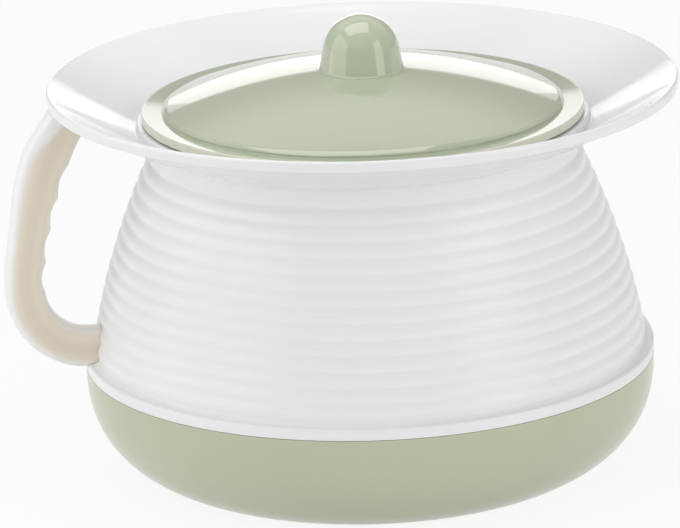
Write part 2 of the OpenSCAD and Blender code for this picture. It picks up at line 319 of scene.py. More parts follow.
def stretched(coordinates, scale, turn):
    """Coordinates turned and drawn out, so that a noise on them becomes streaks."""
    inputs = {"Vector": coordinates, "Rotation": turn, "Scale": scale}
    return coordinates.add("ShaderNodeMapping", inputs=inputs)


def hairlines(coordinates):
    """Fine scratches in two directions, 1 on a scratch."""
    one, two = [
        noise(stretched(coordinates, scale, turn), scale=1.0, detail=1.0).step(*edges)
        for scale, turn, edges in HAIRLINES
    ]
    return one + two


def wiped(coordinates, scale):
    """What hairlines and smears add to the roughness of a polished face."""
    return hairlines(coordinates) * HAIRLINE_ROUGH + noise(coordinates, scale, detail=3.0) * SMEAR_ROUGH


def clouded(coordinates, colour, swing):
    """A colour that swings a little lighter and darker, in broad clouds and in fine grains."""
    dark = [c * (1 - swing) for c in colour]
    light = [min(1.0, c * (1 + swing)) for c in colour]
    clouds = noise(coordinates, CLOUD_SCALE, detail=3.0).step(*CLOUD_EDGES)
    grains = noise(coordinates, GRAIN_SCALE, detail=1.0)
    return (clouds * (1 - GRAIN_SHARE) + grains * GRAIN_SHARE).blend(dark, light)


def peel(shader, coordinates, scale, depth, extra=None):
    """The faint dimpled skin of a moulded face, as a bump."""
    height = noise(coordinates, scale, detail=1.0)
    if extra is not None:
        height = height + extra
    bump = coordinates.add("ShaderNodeBump", inputs={"Height": height, "Strength": 1.0, "Distance": depth})
    coordinates.feed(shader.inputs["Normal"], bump)


def from_axis(coordinates):
    """Distance from the pot's upright axis."""
    x, y, z = coordinates.axes()
    return (x * x + y * y).power(0.5)


print("patterns ready")

# %% [markdown]
# ## Green plastic of the lid and the knob
#
# The lid comes from a polished mould, so it is the glossiest green piece. A clear coat on the shader
# gives the bright grazing reflections at its back. The lip is thin, so light comes through it and the
# white rim below lights it; that light is painted into its colour as a paler band. The lip is handled
# most, so it also carries scuffs. A separate mesh for the lip could have its own colour, but a blend that
# follows the distance from the axis leaves no seam. The knob lies far inside the lip and keeps the plain
# green.

# %% Lid finish
SAGE = (0.457, 0.507, 0.37)
SAGE_PALE = (0.6, 0.64, 0.5)
SAGE_LIT_EDGE = (0.76, 0.75, 0.62)
LID_ROUGHNESS = 0.05
LID_COAT = 0.5
LID_COAT_ROUGHNESS = 0.04
LIT_EDGE_FROM = 1.6 * MM
LIT_EDGE_TO = 0.1 * MM
LIT_EDGE_SHARE = 0.8
LIP_SCUFFED = (0.5, 0.62)
LIP_SCUFF_TINT = 0.3
LIP_SCUFF_ROUGH = 0.2


def lid_finish(lip_r):
    finish, shader, start, coordinates = new_finish("lid green")
    # Painted light: the thin lip is paler, as light comes through it and the white rim below lights it.
    lip = from_axis(coordinates).step(lip_r - LIT_EDGE_FROM, lip_r - LIT_EDGE_TO)
    scuffs = lip * noise(coordinates, scale=260, detail=4.0).step(*LIP_SCUFFED)
    colour = (lip * LIT_EDGE_SHARE).blend(clouded(coordinates, SAGE, swing=0.015), SAGE_LIT_EDGE)
    start.feed(shader.inputs["Base Color"], (scuffs * LIP_SCUFF_TINT).blend(colour, SAGE_PALE))
    worn = wiped(coordinates, scale=70) + scuffs * LIP_SCUFF_ROUGH
    start.feed(shader.inputs["Roughness"], worn + LID_ROUGHNESS)
    shader.inputs["Coat Weight"].default_value = LID_COAT
    shader.inputs["Coat Roughness"].default_value = LID_COAT_ROUGHNESS
    peel(shader, coordinates, scale=240, depth=0.012 * MM)
    return finish


print("lid finish ready")

# %% [markdown]
# ## Green plastic of the bowl
#
# The bowl is nearly the same green from a less polished mould, so its highlights are softer. It stands
# on its foot ring, which is scratched pale by floors. The scratches could be painted by hand, but the
# height above the floor finds the same place by itself.

# %% Bowl finish
BOWL_GREEN = (0.49, 0.53, 0.382)
BOWL_ROUGHNESS = 0.18
BOWL_SMEAR_ROUGH = 0.04
FOOT_SCUFFED = (0.42, 0.6)
FOOT_SCUFF_TINT = 0.6
FOOT_SCUFF_ROUGH = 0.3


def bowl_finish(foot_height):
    finish, shader, start, coordinates = new_finish("bowl green")
    x, y, z = coordinates.axes()
    foot = 1 - z.step(0.0, foot_height)
    scuffs = foot * noise(coordinates, scale=180, detail=4.0).step(*FOOT_SCUFFED)
    green = clouded(coordinates, BOWL_GREEN, swing=0.012)
    start.feed(shader.inputs["Base Color"], (scuffs * FOOT_SCUFF_TINT).blend(green, SAGE_PALE))
    smears = noise(coordinates, scale=50, detail=3.0) * BOWL_SMEAR_ROUGH
    worn = smears + scuffs * FOOT_SCUFF_ROUGH
    start.feed(shader.inputs["Roughness"], worn + BOWL_ROUGHNESS)
    peel(shader, coordinates, scale=420, depth=0.02 * MM)
    return finish


print("bowl finish ready")

# %% [markdown]
# ## White plastic of the wall
#
# The wall is satin white. Its grooves are a touch greyer, in patches, and rougher than its crests, so
# the finish reads how deep each point lies from the attribute that the ribs are made with.

# %% Wall finish
WHITE = (0.84, 0.84, 0.845)
GROOVE_WHITE = (0.825, 0.825, 0.825)
WALL_ROUGHNESS = 0.27
WALL_SMEAR_ROUGH = 0.06
GROOVE_ROUGH = 0.12
GROOVE_GREY_LEAST = 0.6
GROOVE_GREY_SWING = 0.8
GROOVE_GREYED = (0.35, 1.0)


def wall_finish():
    finish, shader, start, coordinates = new_finish("wall white")
    groove = start.add("ShaderNodeAttribute", {"attribute_name": "groove"}, output="Fac")
    # The grooves are coloured greyer in patches, more so the deeper a point lies.
    greyed = groove * (GROOVE_GREY_LEAST + GROOVE_GREY_SWING * noise(coordinates, scale=30, detail=3.0))
    colour = greyed.step(*GROOVE_GREYED).blend(clouded(coordinates, WHITE, swing=0.012), GROOVE_WHITE)
    start.feed(shader.inputs["Base Color"], colour)
    worn = groove * GROOVE_ROUGH + noise(coordinates, scale=60, detail=3.0) * WALL_SMEAR_ROUGH
    start.feed(shader.inputs["Roughness"], worn + WALL_ROUGHNESS)
    peel(shader, coordinates, scale=700, depth=0.03 * MM)
    return finish


print("wall finish ready")

# %% [markdown]
# ## White plastic of the rim
#
# The rim is sat on and wiped, so its mould is polished and its face carries hairlines. The same white
# goes on at a lower roughness, which lets the dish mirror the backdrop and the lamps of the studio.

# %% Rim finish
RIM_ROUGHNESS = 0.07


def rim_finish():
    finish, shader, start, coordinates = new_finish("rim white")
    start.feed(shader.inputs["Base Color"], clouded(coordinates, WHITE, swing=0.012))
    start.feed(shader.inputs["Roughness"], wiped(coordinates, scale=40) + RIM_ROUGHNESS)
    peel(shader, coordinates, scale=160, depth=0.006 * MM)
    return finish


print("rim finish ready")

# %% [markdown]
# ## Ivory plastic of the handle
#
# The handle is satin ivory. Hands polish its finger hollows, and the two halves of its mould leave a
# thin raised line along its middle plane. Its edges and its top are paler than its flat sides, as thin
# ivory plastic is where light comes through. Subsurface scattering could do that, but an export doesn't
# bake it, so the paler parts are colours. They read an attribute that says how far each point faces
# outward: 1 on the outer edge, 0 on the flat sides and -1 in the finger hollows.

# %% Handle finish
IVORY = (0.735, 0.66, 0.54)
IVORY_WARM = (0.8, 0.73, 0.59)
IVORY_WORN = (0.72, 0.64, 0.51)
IVORY_EDGE = (0.87, 0.865, 0.865)
IVORY_INNER = (0.85, 0.82, 0.77)
HANDLE_ROUGHNESS = 0.34
HANDLE_SMEAR_ROUGH = 0.08
HELD = (0.2, 0.7)
HELD_TINT = 0.4
HELD_POLISH = 0.12
MOULD_LINE = (0.075 * MM, 0.25 * MM)
MOULD_LINE_RISE = 3
WARM_SIDE = (0.1, 0.6)
PALE_INNER = (0.65, 0.95)
PALE_OUTER = (0.45, 0.85)
TOP_PALE = (162 * MM, 178 * MM)
TOP_SHIFT = 0.45


def handle_finish():
    finish, shader, start, coordinates = new_finish("handle ivory")
    hollow = start.add("ShaderNodeAttribute", {"attribute_name": "hollow"}, output="Fac")
    held = hollow * noise(coordinates, scale=90, detail=3.0).step(*HELD)
    outward = start.add("ShaderNodeAttribute", {"attribute_name": "outward"}, output="Fac")
    x, y, z = coordinates.axes()
    edge = outward + z.step(*TOP_PALE) * TOP_SHIFT
    colour = abs(outward).step(*WARM_SIDE).blend(clouded(coordinates, IVORY, swing=0.02), IVORY_WARM)
    colour = (held * HELD_TINT).blend(colour, IVORY_WORN)
    colour = (0 - outward).step(*PALE_INNER).blend(colour, IVORY_INNER)
    start.feed(shader.inputs["Base Color"], edge.step(*PALE_OUTER).blend(colour, IVORY_EDGE))
    worn = noise(coordinates, scale=60, detail=3.0) * HANDLE_SMEAR_ROUGH - held * HELD_POLISH
    start.feed(shader.inputs["Roughness"], worn + HANDLE_ROUGHNESS)
    line = 1 - abs(y).step(*MOULD_LINE)
    peel(shader, coordinates, scale=800, depth=0.03 * MM, extra=line * MOULD_LINE_RISE)
    return finish


print("handle finish ready")

# %% [markdown]
# ## Rubber and steel
#
# The seal is a matt rubber ring that shows only as a line. The screw is turned steel, so its finish has
# fine rings about its own axis, which is the pot's axis too.

# %% Seal and screw finishes
RUBBER = (0.3, 0.315, 0.26)
RUBBER_DUSTY = (0.38, 0.39, 0.33)
STEEL = (0.62, 0.62, 0.64)
STEEL_DULL = (0.5, 0.5, 0.51)
RUBBER_DUST = (0.4, 0.7)
RUBBER_ROUGHNESS = 0.7
RUBBER_DUST_ROUGH = 0.1
STEEL_ROUGHNESS = 0.24
TARNISHED = (0.35, 0.7)
TARNISH_ROUGH = 0.15
TURNING_PITCH = 0.12 * MM
TURNING_ROUGH = 0.04
TURNING_RISE = 0.4


def seal_finish():
    finish, shader, start, coordinates = new_finish("seal rubber")
    dust = noise(coordinates, scale=120, detail=4.0).step(*RUBBER_DUST)
    start.feed(shader.inputs["Base Color"], dust.blend(RUBBER, RUBBER_DUSTY))
    start.feed(shader.inputs["Roughness"], dust * RUBBER_DUST_ROUGH + RUBBER_ROUGHNESS)
    peel(shader, coordinates, scale=1500, depth=0.05 * MM)
    return finish


def screw_finish():
    finish, shader, start, coordinates = new_finish("screw steel")
    tarnish = noise(coordinates, scale=60, detail=2.0)
    rings = start.math("SINE", from_axis(coordinates) * (2 * math.pi / TURNING_PITCH))
    start.feed(shader.inputs["Base Color"], tarnish.step(*TARNISHED).blend(STEEL, STEEL_DULL))
    worn = tarnish * TARNISH_ROUGH + rings * TURNING_ROUGH
    start.feed(shader.inputs["Roughness"], worn + STEEL_ROUGHNESS)
    shader.inputs["Metallic"].default_value = 1.0
    peel(shader, coordinates, scale=900, depth=0.01 * MM, extra=rings * TURNING_RISE)
    return finish


print("seal and screw finishes ready")

# %% [markdown]
# ## The base bowl
#
# The bowl is a round-bellied dish. Its side is a superellipse: it leaves the rim upright, fills out and
# runs in flat to the foot ring. A half sphere that is scaled down would be too lean there. One formula
# gives the outside and the inside, so the thickness of the wall changes evenly down to the floor.

# %% Base bowl
BOWL_STEPS = 48
BOWL_WALL = 3 * MM
BOWL_FLOOR = 3 * MM
BOWL_LIP = 0.6 * MM
FOOT_R = 94 * MM
FOOT_W = 9 * MM
FOOT_H = 2 * MM
DROP_POWER = 2.5
REACH_POWER = 1.6

bowl_low, bowl_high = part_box("base_bowl")
bowl_r = bowl_high.x
bowl_top = bowl_high.z
floor_z = FOOT_H + BOWL_FLOOR


def bowl_side(rim_r, rim_z, foot_z):
    """The points between a rim and the foot, without the two ends."""
    points = []
    for i in range(1, BOWL_STEPS):
        a = math.pi / 2 * i / BOWL_STEPS
        out = math.cos(a) ** (2 / REACH_POWER)
        down = math.sin(a) ** (2 / DROP_POWER)
        points.append((FOOT_R + (rim_r - FOOT_R) * out, rim_z + (foot_z - rim_z) * down, 0))
    return points


def bowl_inside(z):
    """Radius of the bowl's inside at a height."""
    down = max(0.0, (bowl_top - z) / (bowl_top - floor_z))
    side = math.sqrt(1 - down**DROP_POWER)
    return FOOT_R + (bowl_r - BOWL_WALL - FOOT_R) * side ** (2 / REACH_POWER)


bowl_section = [(0, FOOT_H, 0), (FOOT_R - FOOT_W - FOOT_H, FOOT_H, BROAD), (FOOT_R - FOOT_W, 0, SOFT)]
bowl_section += [(FOOT_R, 0, 0)] + bowl_side(bowl_r, bowl_top, 0)[::-1]
bowl_section += [(bowl_r, bowl_top, CRISP), (bowl_r - BOWL_WALL, bowl_top, BOWL_LIP)]
bowl_section += bowl_side(bowl_r - BOWL_WALL, bowl_top, floor_z)
bowl_section += [(FOOT_R, floor_z, 0), (0, floor_z, 0)]
bowl = even_normals(turned("bowl_shell", rounded(bowl_section)))
bowl.data.materials.append(bowl_finish(FOOT_H))
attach(bowl, "pot")
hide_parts("base_bowl")
print("bowl", len(bowl.data.polygons), "faces")

# %% [markdown]
# ## The seal
#
# A thin rubber ring lies on the bowl's edge under the wall. It stays back from the outer face, and the
# wall's drip edge hangs down in front of it. Only a hairline stays open there, which shows as the dark
# line where the two mouldings meet. A torus would be round, so the ring is turned from a flat section.

# %% Seal
FIT = 0.25 * MM

seal_low, seal_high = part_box("base_seal")
seal_in = bowl_r - BOWL_WALL + FIT
seal_section = [(seal_in, seal_low.z, CRISP), (seal_high.x, seal_low.z, CRISP)]
seal_section += [(seal_high.x, seal_high.z, CRISP), (seal_in, seal_high.z, CRISP)]
seal = even_normals(turned("joint_seal", rounded(seal_section)))
seal.data.materials.append(seal_finish())
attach(seal, "pot")
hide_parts("base_seal")
print("seal", round((seal_high.z - seal_low.z) / MM, 2), "mm thick")

# %% [markdown]
# ## Geometry trees
#
# What repeats by a rule is left to Geometry Nodes. A tree has one geometry input and a named input for
# each size, and it ends by realizing its instances and setting the material, because an export knows
# only plain meshes. The sizes are set through the sockets' identifiers before the first evaluation.


# %% Helpers for geometry trees
def new_tree(name, sizes):
    """A new geometry tree: the tree, the start of its chain and a signal for each named input."""
    tree = bpy.data.node_groups.new(name, "GeometryNodeTree")
    tree.interface.new_socket("Geometry", in_out="INPUT", socket_type="NodeSocketGeometry")
    for label, value in sizes.items():
        kind = "NodeSocketObject" if isinstance(value, bpy.types.Object) else "NodeSocketFloat"
        tree.interface.new_socket(label, in_out="INPUT", socket_type=kind)
    tree.interface.new_socket("Geometry", in_out="OUTPUT", socket_type="NodeSocketGeometry")
    entry = tree.nodes.new("NodeGroupInput")
    signals = {socket.name: Signal(tree, socket) for socket in entry.outputs if socket.name}
    return tree, Signal(tree), signals


def end_tree(tree, geometry, finish):
    """Makes the geometry plain, gives it its finish and leads it out of the tree."""
    solid = geometry.add("GeometryNodeRealizeInstances", inputs={"Geometry": geometry})
    coloured = solid.add("GeometryNodeSetMaterial", inputs={"Geometry": solid, "Material": finish})
    leave = tree.nodes.new("NodeGroupOutput")
    tree.links.new(coloured.socket, leave.inputs["Geometry"])


def grown(obj, tree, sizes):
    """Runs a tree on an object with these sizes and keeps the result as a plain mesh."""
    modifier = obj.modifiers.new(tree.name, "NODES")
    modifier.node_group = tree
    for socket in tree.interface.items_tree:
        if socket.in_out == "INPUT" and socket.name in sizes:
            modifier[socket.identifier] = sizes[socket.name]
    return baked_down(obj)


def named(signal, label, kind="FLOAT"):
    """A named attribute of the geometry, as a signal."""
    return signal.add("GeometryNodeInputNamedAttribute", {"data_type": kind}, {"Name": label})


def store(geometry, label, value, kind="FLOAT"):
    """The geometry with a value kept on each of its points."""
    inputs = {"Geometry": geometry, "Name": label, "Value": value}
    return geometry.add("GeometryNodeStoreNamedAttribute", {"data_type": kind}, inputs)


print("tree helpers ready")

# %% [markdown]
# ## The groove tree
#
# Ribs and screw threads follow one rule: a face is pressed in along grooves at a steady pitch. The tree
# takes a smooth blank and moves the marked points towards the axis by a half wave, full on its crests
# and narrow in its grooves. A twist of one turns the rings into a helix, which is a thread.


# %% Groove tree
def groove_tree(name, sizes, finish):
    tree, start, given = new_tree(name, sizes)
    place = start.add("GeometryNodeInputPosition")
    x, y, z = place.axes()
    turn = start.math("ARCTAN2", y, x) / (2 * math.pi)
    phase = (z - given["First groove"]) / given["Pitch"] - turn * given["Twist"]
    wave = start.math("SINE", phase * math.pi)
    crest = (wave * wave + given["Softness"]).power(0.5)
    crest = crest.math("MINIMUM", crest, 1.0)
    groove = (1 - crest) * named(start, "mark")
    flat = start.add("ShaderNodeCombineXYZ", inputs={"X": x, "Y": y})
    outward = start.add("ShaderNodeVectorMath", {"operation": "NORMALIZE"}, {0: flat})
    depth = groove * given["Depth"] * -1.0
    offset = start.add("ShaderNodeVectorMath", {"operation": "SCALE"}, {0: outward, "Scale": depth})
    kept = store(given["Geometry"], "groove", groove)
    pressed = start.add("GeometryNodeSetPosition", inputs={"Geometry": kept, "Offset": offset})
    end_tree(tree, pressed, finish)
    return tree


print("groove tree ready")

# %% [markdown]
# ## The ribbed wall
#
# The wall is one moulding: a skirt inside the bowl, a drip edge over the seal, a smooth bead flush with
# the bowl, a hollow curve, thirteen ribs, a smooth neck that closes up to the rim, and a tongue inside
# the rim. Each rib could be a corner list of its own, but the groove tree needs only a smooth blank. It
# is turned with enough rings for the grooves to be smooth, and only the ribbed face is marked.

# %% Ribbed wall
RIBS = 13
RIB_RINGS = 12
RIB_DEPTH = 1.1 * MM
RIB_SOFTNESS = 0.08
WALL_T = 2.4 * MM
NECK_R = 103.1 * MM
NECK_H = 10.4 * MM
NECK_CLOSE = 0.2 * MM
NECK_EDGE = 0.05 * MM
WALL_BOW = 3.5 * MM
BEAD_H = 4.8 * MM
BEAD_STAND = 3.8 * MM
BEAD_ROUND = 1.2 * MM
DRIP_W = 0.42 * MM
DRIP_GAP = 0.2 * MM
DRIP_EDGE = 0.2 * MM
COVE_H = 2.8 * MM
COVE_STEPS = 8
TONGUE_H = 4 * MM
TONGUE_IN = 4.5 * MM
INSIDE_STEPS = 36

wall_low, wall_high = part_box("ribbed_wall")
skirt_z = wall_low.z
wall_z = seal_high.z
drip_z = bowl_top + DRIP_GAP
bead_z = wall_z + BEAD_H
rib_z = bead_z + COVE_H
tongue_z = wall_high.z
neck_z = tongue_z - TONGUE_H
neck_top = neck_z + NECK_CLOSE
shoulder_z = neck_z - NECK_H
rib_pitch = (shoulder_z - rib_z) / RIBS
belly_r = bowl_r - BEAD_STAND
tongue_r = NECK_R - TONGUE_IN
mouth_r = tongue_r - WALL_T
skirt_r = bowl_inside(bowl_top) - FIT
skirt_foot_r = bowl_inside(skirt_z) - FIT


def crest(z):
    """Radius over the rib crests at a height."""
    u = (z - rib_z) / (shoulder_z - rib_z)
    return belly_r + (NECK_R - belly_r) * u + WALL_BOW * 4 * u * (1 - u)


def cove():
    """The hollow curve from the bead's top in to the lowest groove, without its ends."""
    reach = bowl_r - BEAD_ROUND - belly_r + RIB_DEPTH
    points = []
    for i in range(1, COVE_STEPS):
        a = math.pi / 2 * i / COVE_STEPS
        r = belly_r - RIB_DEPTH + reach * (1 - math.sin(a))
        points.append(Vector((r, rib_z - COVE_H * math.cos(a))))
    return points


def evenly(low, high, steps):
    """Values from low to high, both included."""
    return [low + (high - low) * i / steps for i in range(steps + 1)]


lower = [(skirt_foot_r - WALL_T, skirt_z, EASED), (skirt_foot_r, skirt_z, EASED), (skirt_r, wall_z, 0)]
lower += [(bowl_r - DRIP_W, wall_z, 0), (bowl_r - DRIP_W, drip_z, 0), (bowl_r, drip_z, DRIP_EDGE)]
lower += [(bowl_r, bead_z, BEAD_ROUND), (bowl_r - 2 * BEAD_ROUND, bead_z, 0)]
foot_line = rounded(lower)[:-1] + cove()
rib_line = [Vector((crest(z), z)) for z in evenly(rib_z, shoulder_z, RIBS * RIB_RINGS)]
half_rib = evenly(shoulder_z, shoulder_z + rib_pitch / 2, RIB_RINGS // 2)[1:]
rib_line += [Vector((NECK_R, z)) for z in half_rib]
upper = [(NECK_R, half_rib[-1], 0), (NECK_R, neck_top, NECK_EDGE), (tongue_r, neck_top, 0)]
upper += [(tongue_r, tongue_z, FINE), (mouth_r, tongue_z, FINE), (mouth_r, neck_z - WALL_T, BROAD)]
upper += [(crest(shoulder_z) - RIB_DEPTH - WALL_T, shoulder_z, 0)]
top_line = rounded(upper)[1:-1]
inner_drop = RIB_DEPTH + WALL_T
inner_line = [Vector((crest(z) - inner_drop, z)) for z in evenly(shoulder_z, rib_z, INSIDE_STEPS)]
inner_line += [Vector((skirt_r - WALL_T, wall_z))]

wall_line = foot_line + rib_line + top_line + inner_line
ribbed = [0.0] * len(foot_line) + [1.0] * len(rib_line) + [0.0] * (len(top_line) + len(inner_line))
wall = turned("ribbed_shell", wall_line, mark=ribbed)

rib_sizes = {"First groove": rib_z, "Pitch": rib_pitch, "Depth": RIB_DEPTH}
rib_sizes |= {"Twist": 0.0, "Softness": RIB_SOFTNESS}
wall = grown(wall, groove_tree("ribs", rib_sizes, wall_finish()), rib_sizes)
wall = even_normals(wall)
print("wall", len(wall.data.polygons), "faces,", RIBS, "ribs", round(rib_pitch / MM, 2), "mm high")

# %% [markdown]
# ## Pegs
#
# The handle is held by two round pegs that nobody sees: one on the wall and one under the rim. Each is a
# small turned pin with a rounded end, laid in its place and joined to the moulding that carries it.

# %% Pegs
PEG_STEPS = 32
ARM_PEG_R = 4.5 * MM
TOP_PEG_R = 3.4 * MM
PEG_EDGE = 0.8 * MM


def peg(name, radius, root, tip, wider=0.0):
    """A pin from its root to its tip. Wider makes the cutter of its socket."""
    run = tip - root
    length = run.length + wider
    r = radius + wider
    section = rounded([(0, 0, 0), (r, 0, 0), (r, length, 0 if wider else PEG_EDGE), (0, length, 0)])
    pin = turned(name, section, PEG_STEPS)
    pin.data.transform(run.to_track_quat("Z", "Y").to_matrix().to_4x4())
    pin.data.transform(Matrix.Translation(root))
    return pin


def joined(obj, other):
    """Adds another object's mesh to an object, and removes the other."""
    shape = bmesh.new()
    shape.from_mesh(obj.data)
    shape.from_mesh(other.data)
    bpy.data.objects.remove(other)
    shape.to_mesh(obj.data)
    shape.free()
    return obj


print("pegs ready")

# %% [markdown]
# ## The dished rim
#
# The rim is a wide saucer round an upright collar. The collar carries the lid, and its rebate sits over
# the wall's tongue. The saucer's line is a cone that sags a little, and its outer edge rolls over and
# turns down into a rounded lip, because it is sat on. A bent plane or a subdivided cage could give this
# form too, but a turned section with many rings keeps the mirror reflections smooth. The root of the
# rim's peg is drawn up to the slope of the dish, so that it ends inside the moulding.

# %% Dished rim
RIM_T = 2.9 * MM
RIM_RISE = 23.2 * MM
RIM_SAG = 1.4 * MM
COLLAR_W = 11.3 * MM
COLLAR_H = 4.5 * MM
COLLAR_ROUND = 0.8 * MM
DISH_FILLET = 1.2 * MM
DISH_CLEAR = 3.2 * MM
DISH_STEPS = 40
LIP_W = 2.9 * MM
LIP_DROP = 1.6 * MM
LIP_ROUND = 1.2 * MM
LIP_TOP_ROUND = 1.35 * MM
LIP_ROLL = 4.6 * MM
TOP_PEG_IN = 9 * MM
TOP_PEG_LEN = 10 * MM

rim_low, rim_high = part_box("dished_rim")
rim_r = rim_high.x
rim_z = rim_low.z
dish_z = rim_z + RIM_T
collar_z = dish_z + COLLAR_H
collar_r = mouth_r + COLLAR_W


def dish(r):
    """Height of the dish's upper face at a radius."""
    u = (r - collar_r) / (rim_r - collar_r)
    return dish_z + RIM_RISE * u - RIM_SAG * 4 * u * (1 - u)


lip_in = rim_r - LIP_W
lip_low = dish(lip_in) - RIM_T - LIP_DROP
dish_line = [(r, dish(r), 0) for r in evenly(collar_r + DISH_CLEAR, rim_r - LIP_ROLL, DISH_STEPS)]
rim_section = [(tongue_r + FIT, rim_z, 0), (tongue_r + FIT, tongue_z, 0), (mouth_r, tongue_z, FINE)]
rim_section += [(mouth_r, collar_z, COLLAR_ROUND), (collar_r, collar_z, COLLAR_ROUND)]
rim_section += [(collar_r, dish_z, DISH_FILLET)] + dish_line + [(rim_r, dish(rim_r), LIP_TOP_ROUND)]
rim_section += [(rim_r, lip_low, LIP_ROUND), (lip_in, lip_low, LIP_ROUND)]
rim_section += [(lip_in, dish(lip_in) - RIM_T, 0)]
rim_section += [(r, z - RIM_T, 0) for r, z, edge in dish_line[::-1]] + [(collar_r, rim_z, BROAD)]
rim = even_normals(turned("seat_rim", rounded(rim_section)))

top_peg_x = -(rim_r - TOP_PEG_IN)
top_peg_root = Vector((top_peg_x, 0, dish(-top_peg_x) - RIM_T / 2))
top_peg_tip = Vector((top_peg_x, 0, dish(-top_peg_x) - RIM_T - TOP_PEG_LEN))
top_peg = peg("top peg", TOP_PEG_R, top_peg_root, top_peg_tip)
for vertex in top_peg.data.vertices:
    if abs(vertex.co.z - top_peg_root.z) < PEG_EDGE:
        vertex.co.z = dish(math.hypot(vertex.co.x, vertex.co.y)) - RIM_T / 2
joined(rim, top_peg)
rim.data.materials.append(rim_finish())
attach(rim, "pot")
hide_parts("dished_rim")
print("rim", len(rim.data.polygons), "faces, collar top at", round(collar_z / MM, 2), "mm")

# %% [markdown]
# ## The wall's peg
#
# With the rim in place, the wall gets its own peg on the handle's side, over which the handle's arm is
# pushed. Then the wall is complete and is handed to the frame.

# %% Finish the wall
ARM_RISE = 13 * MM
ARM_PEG_LEN = 8 * MM

arm_z = bowl_top + ARM_RISE
arm_peg_root = Vector((-(crest(arm_z) - RIB_DEPTH - WALL_T / 2), 0, arm_z))
arm_peg_tip = Vector((-(bowl_r + ARM_PEG_LEN), 0, arm_z))
joined(wall, peg("arm peg", ARM_PEG_R, arm_peg_root, arm_peg_tip))
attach(wall, "pot")
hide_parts("ribbed_wall")
print("wall peg", round((arm_peg_root - arm_peg_tip).length / MM, 1), "mm long")

# %% [markdown]
# ## The handle's path
#
# The handle leaves the wall level, turns up round a corner and leans in towards the rim. Its middle line
# is a chain of points: a straight arm, a quarter circle and one cubic curve. A tree can turn such a
# chain into a curve and carry a section along it, which is how a bent bar is made. The handle's reach is
# read from the frame's box and rounded to a tenth of a millimetre, because that box ends on facets.

# %% Handle path
CORNER_R = 30 * MM
TOP_IN = 12.5 * MM
TOP_LEAN = math.radians(50)
GRIP_T = 19 * MM
GRIP_W = 15 * MM
ARM_STEPS = 10
CORNER_STEPS = 24
GRIP_STEPS = 130

handle_low, handle_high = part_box("handle")
grip_reach = round((-handle_low.x - GRIP_T / 2) / MM, 1) * MM
top_r = rim_r - TOP_IN


def grip_point(t):
    """A point of the grip's cubic curve, from the corner up to the rim.

    The curve is drawn upright for a third of its rise below, and along its lean for a sixth above.
    """
    a = Vector((grip_reach, arm_z + CORNER_R))
    d = Vector((top_r, dish(top_r)))
    b = a + Vector((0, (d.y - a.y) / 3))
    c = d - Vector((-math.sin(TOP_LEAN), math.cos(TOP_LEAN))) * (d.y - a.y) / 6
    s = 1 - t
    return a * s**3 + 3 * b * s * s * t + 3 * c * s * t * t + d * t**3


corner_x = grip_reach - CORNER_R
path = [Vector((r, arm_z)) for r in evenly(crest(arm_z) - WALL_T, corner_x, ARM_STEPS)[:-1]]
for a in evenly(-math.pi / 2, 0, CORNER_STEPS)[:-1]:
    path.append(Vector((corner_x + CORNER_R * math.cos(a), arm_z + CORNER_R + CORNER_R * math.sin(a))))
grip_start = sum((b - a).length for a, b in zip(path, path[1:]))
path += [grip_point(t) for t in evenly(0, 1, GRIP_STEPS)]
path_length = sum((b - a).length for a, b in zip(path, path[1:]))
chain = bpy.data.meshes.new("finger_handle")
chain.from_pydata([(-p.x, 0, p.y) for p in path], [(i, i + 1) for i in range(len(path) - 1)], [])
handle = bpy.data.objects.new("finger_handle", chain)
bpy.context.scene.collection.objects.link(handle)
print("handle path", round(path_length / MM, 1), "mm")

# %% [markdown]
# ## Cutters for the handle's ends
#
# The handle fits against the wall and under the dish, so its ends are cut to their shapes. Each cutter
# is the space that a neighbour takes, a little larger for clearance: the wall with its ribs, the dish
# with its lip, and the two pegs. The wall itself could be the cutter, but its section is cheaper to turn
# again with fewer steps, and a Boolean runs faster on it.

# %% Handle cutters
ABOVE = 40 * MM
CUT_STEPS = 120
CUT_RINGS = 8
SKIN_RINGS = 32
CLEAR = 0.08 * MM
CUT_RISE = 0.7 * GRIP_T


def skin(z):
    """Radius of the ribbed face at a height."""
    wave = math.sin(math.pi * (z - rib_z) / rib_pitch)
    return crest(z) - RIB_DEPTH * (1 - min(math.sqrt(wave * wave + RIB_SOFTNESS), 1))


cut_top = arm_z + CUT_RISE
bead = [(bowl_r, 0, 0), (bowl_r, bead_z, BEAD_ROUND), (bowl_r - 2 * BEAD_ROUND, bead_z, 0)]
outside = rounded(bead)[:-1] + cove()
outside += [Vector((skin(z), z)) for z in evenly(rib_z, cut_top, SKIN_RINGS)]
wall_cut = [Vector((0, 0))] + [p + Vector((CLEAR, CLEAR)) for p in outside]
wall_cut += [Vector((0, cut_top + CLEAR))]
drop = RIM_T + FIT
dish_cut = [(r, dish(r) - drop, 0) for r in evenly(collar_r, lip_in - FIT, CUT_RINGS)]
dish_cut += [(lip_in - FIT, lip_low - FIT, 0), (rim_r + ABOVE, lip_low - FIT, 0)]
dish_cut += [(rim_r + ABOVE, rim_high.z + ABOVE, 0), (collar_r, rim_high.z + ABOVE, 0)]
cutters = {
    "Wall space": turned("wall space", wall_cut, CUT_STEPS),
    "Dish space": turned("dish space", rounded(dish_cut), CUT_STEPS),
    "Arm socket": peg("arm socket", ARM_PEG_R, Vector((-mouth_r, 0, arm_z)), arm_peg_tip, FIT),
    "Top socket": peg("top socket", TOP_PEG_R, top_peg_root, top_peg_tip, FIT),
}
print("cutters", ", ".join(cutters))

# %% [markdown]
# ## The handle tree
#
# The tree carries a squarish oval along the path, presses four finger hollows into its inner side, lets
# its outer side swell a little below the rim and cuts its ends. The oval is a circle whose two
# coordinates are raised to a small power, which squares it off. The depth of the hollows and how far
# each point faces outward are stored, so that the finish can read them.

